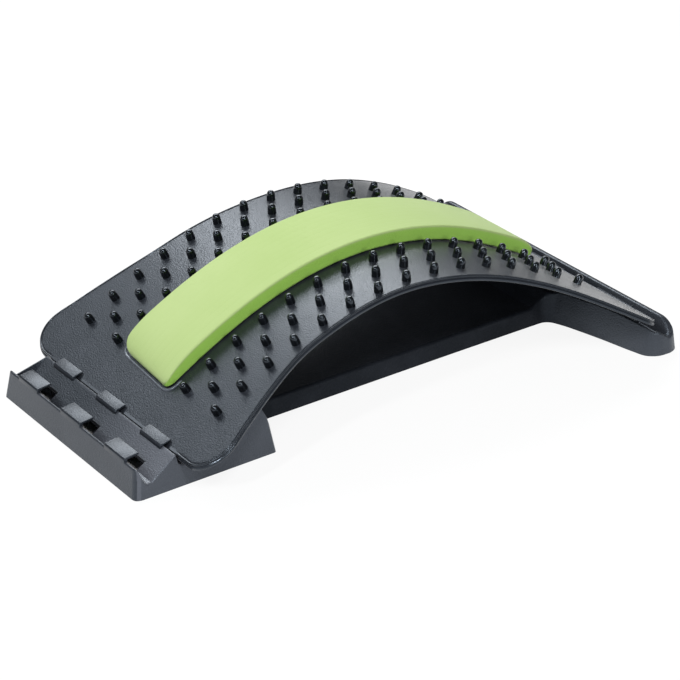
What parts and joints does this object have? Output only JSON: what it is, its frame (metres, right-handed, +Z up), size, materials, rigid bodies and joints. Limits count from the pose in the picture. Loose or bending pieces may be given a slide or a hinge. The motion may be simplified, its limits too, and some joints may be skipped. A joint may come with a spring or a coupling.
{
  "type": "lumbar back stretcher",
  "caption": "Arched plate with rows of small massage nubs and a soft centre strip, standing in the height notches of a low waisted base.",
  "frame": {"origin": "middle of the footprint, on the surface it stands on", "axes": "+X along the length towards the wide end, away from the notches; +Y across, to the far side; +Z up"},
  "size_m": [0.3848, 0.248, 0.0937],
  "materials": {
    "base_plastic": "black ABS with a fine pebble grain, smoother on tabs and outer lip",
    "arch_plastic": "black ABS with a fine pebble grain, glossy on the nubs and the rim bead",
    "adhesive_film": "thin translucent adhesive film, hidden",
    "foam": "soft closed cell foam with a fine skin"
  },
  "bodies": {
    "base": {"base_frame": "base_plastic"},
    "arch": {"arch_plate": "arch_plastic", "foam_adhesive_film": "adhesive_film", "foam_strip": "foam"}
  },
  "joints": [
    {"name": "arch_lift", "type": "slide", "parent": "base", "child": "arch", "axis": [0.8, 0, 0.6], "range_m": [0, 0.1]}
  ]
}
